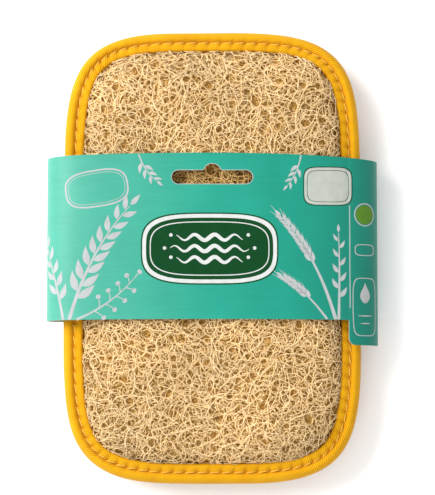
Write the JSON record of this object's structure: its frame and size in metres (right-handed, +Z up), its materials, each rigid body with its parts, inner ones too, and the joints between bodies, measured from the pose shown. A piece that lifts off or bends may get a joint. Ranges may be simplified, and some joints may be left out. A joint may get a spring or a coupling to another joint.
{
  "type": "natural loofah sponge",
  "caption": "Flattened natural loofah pad with a sewn edge binding, wrapped in a card band that has a hang slot and a side tab.",
  "frame": {"origin": "on the surface that it lies on, under the middle of the pad", "axes": "+Y along the pad's length, towards the hang slot; +Z up out of the front face; +X towards the side tab"},
  "size_m": [0.1316, 0.18, 0.0228],
  "materials": {
    "loofah": "dry, wiry plant fibre in a random net, matt",
    "binding": "twill cotton tape, folded and lock stitched, matt",
    "card": "thin coated card, printed, satin"
  },
  "bodies": {
    "root": {"loofah_pad": "loofah", "edge_binding": "binding", "card_band": "card"}
  },
  "joints": []
}
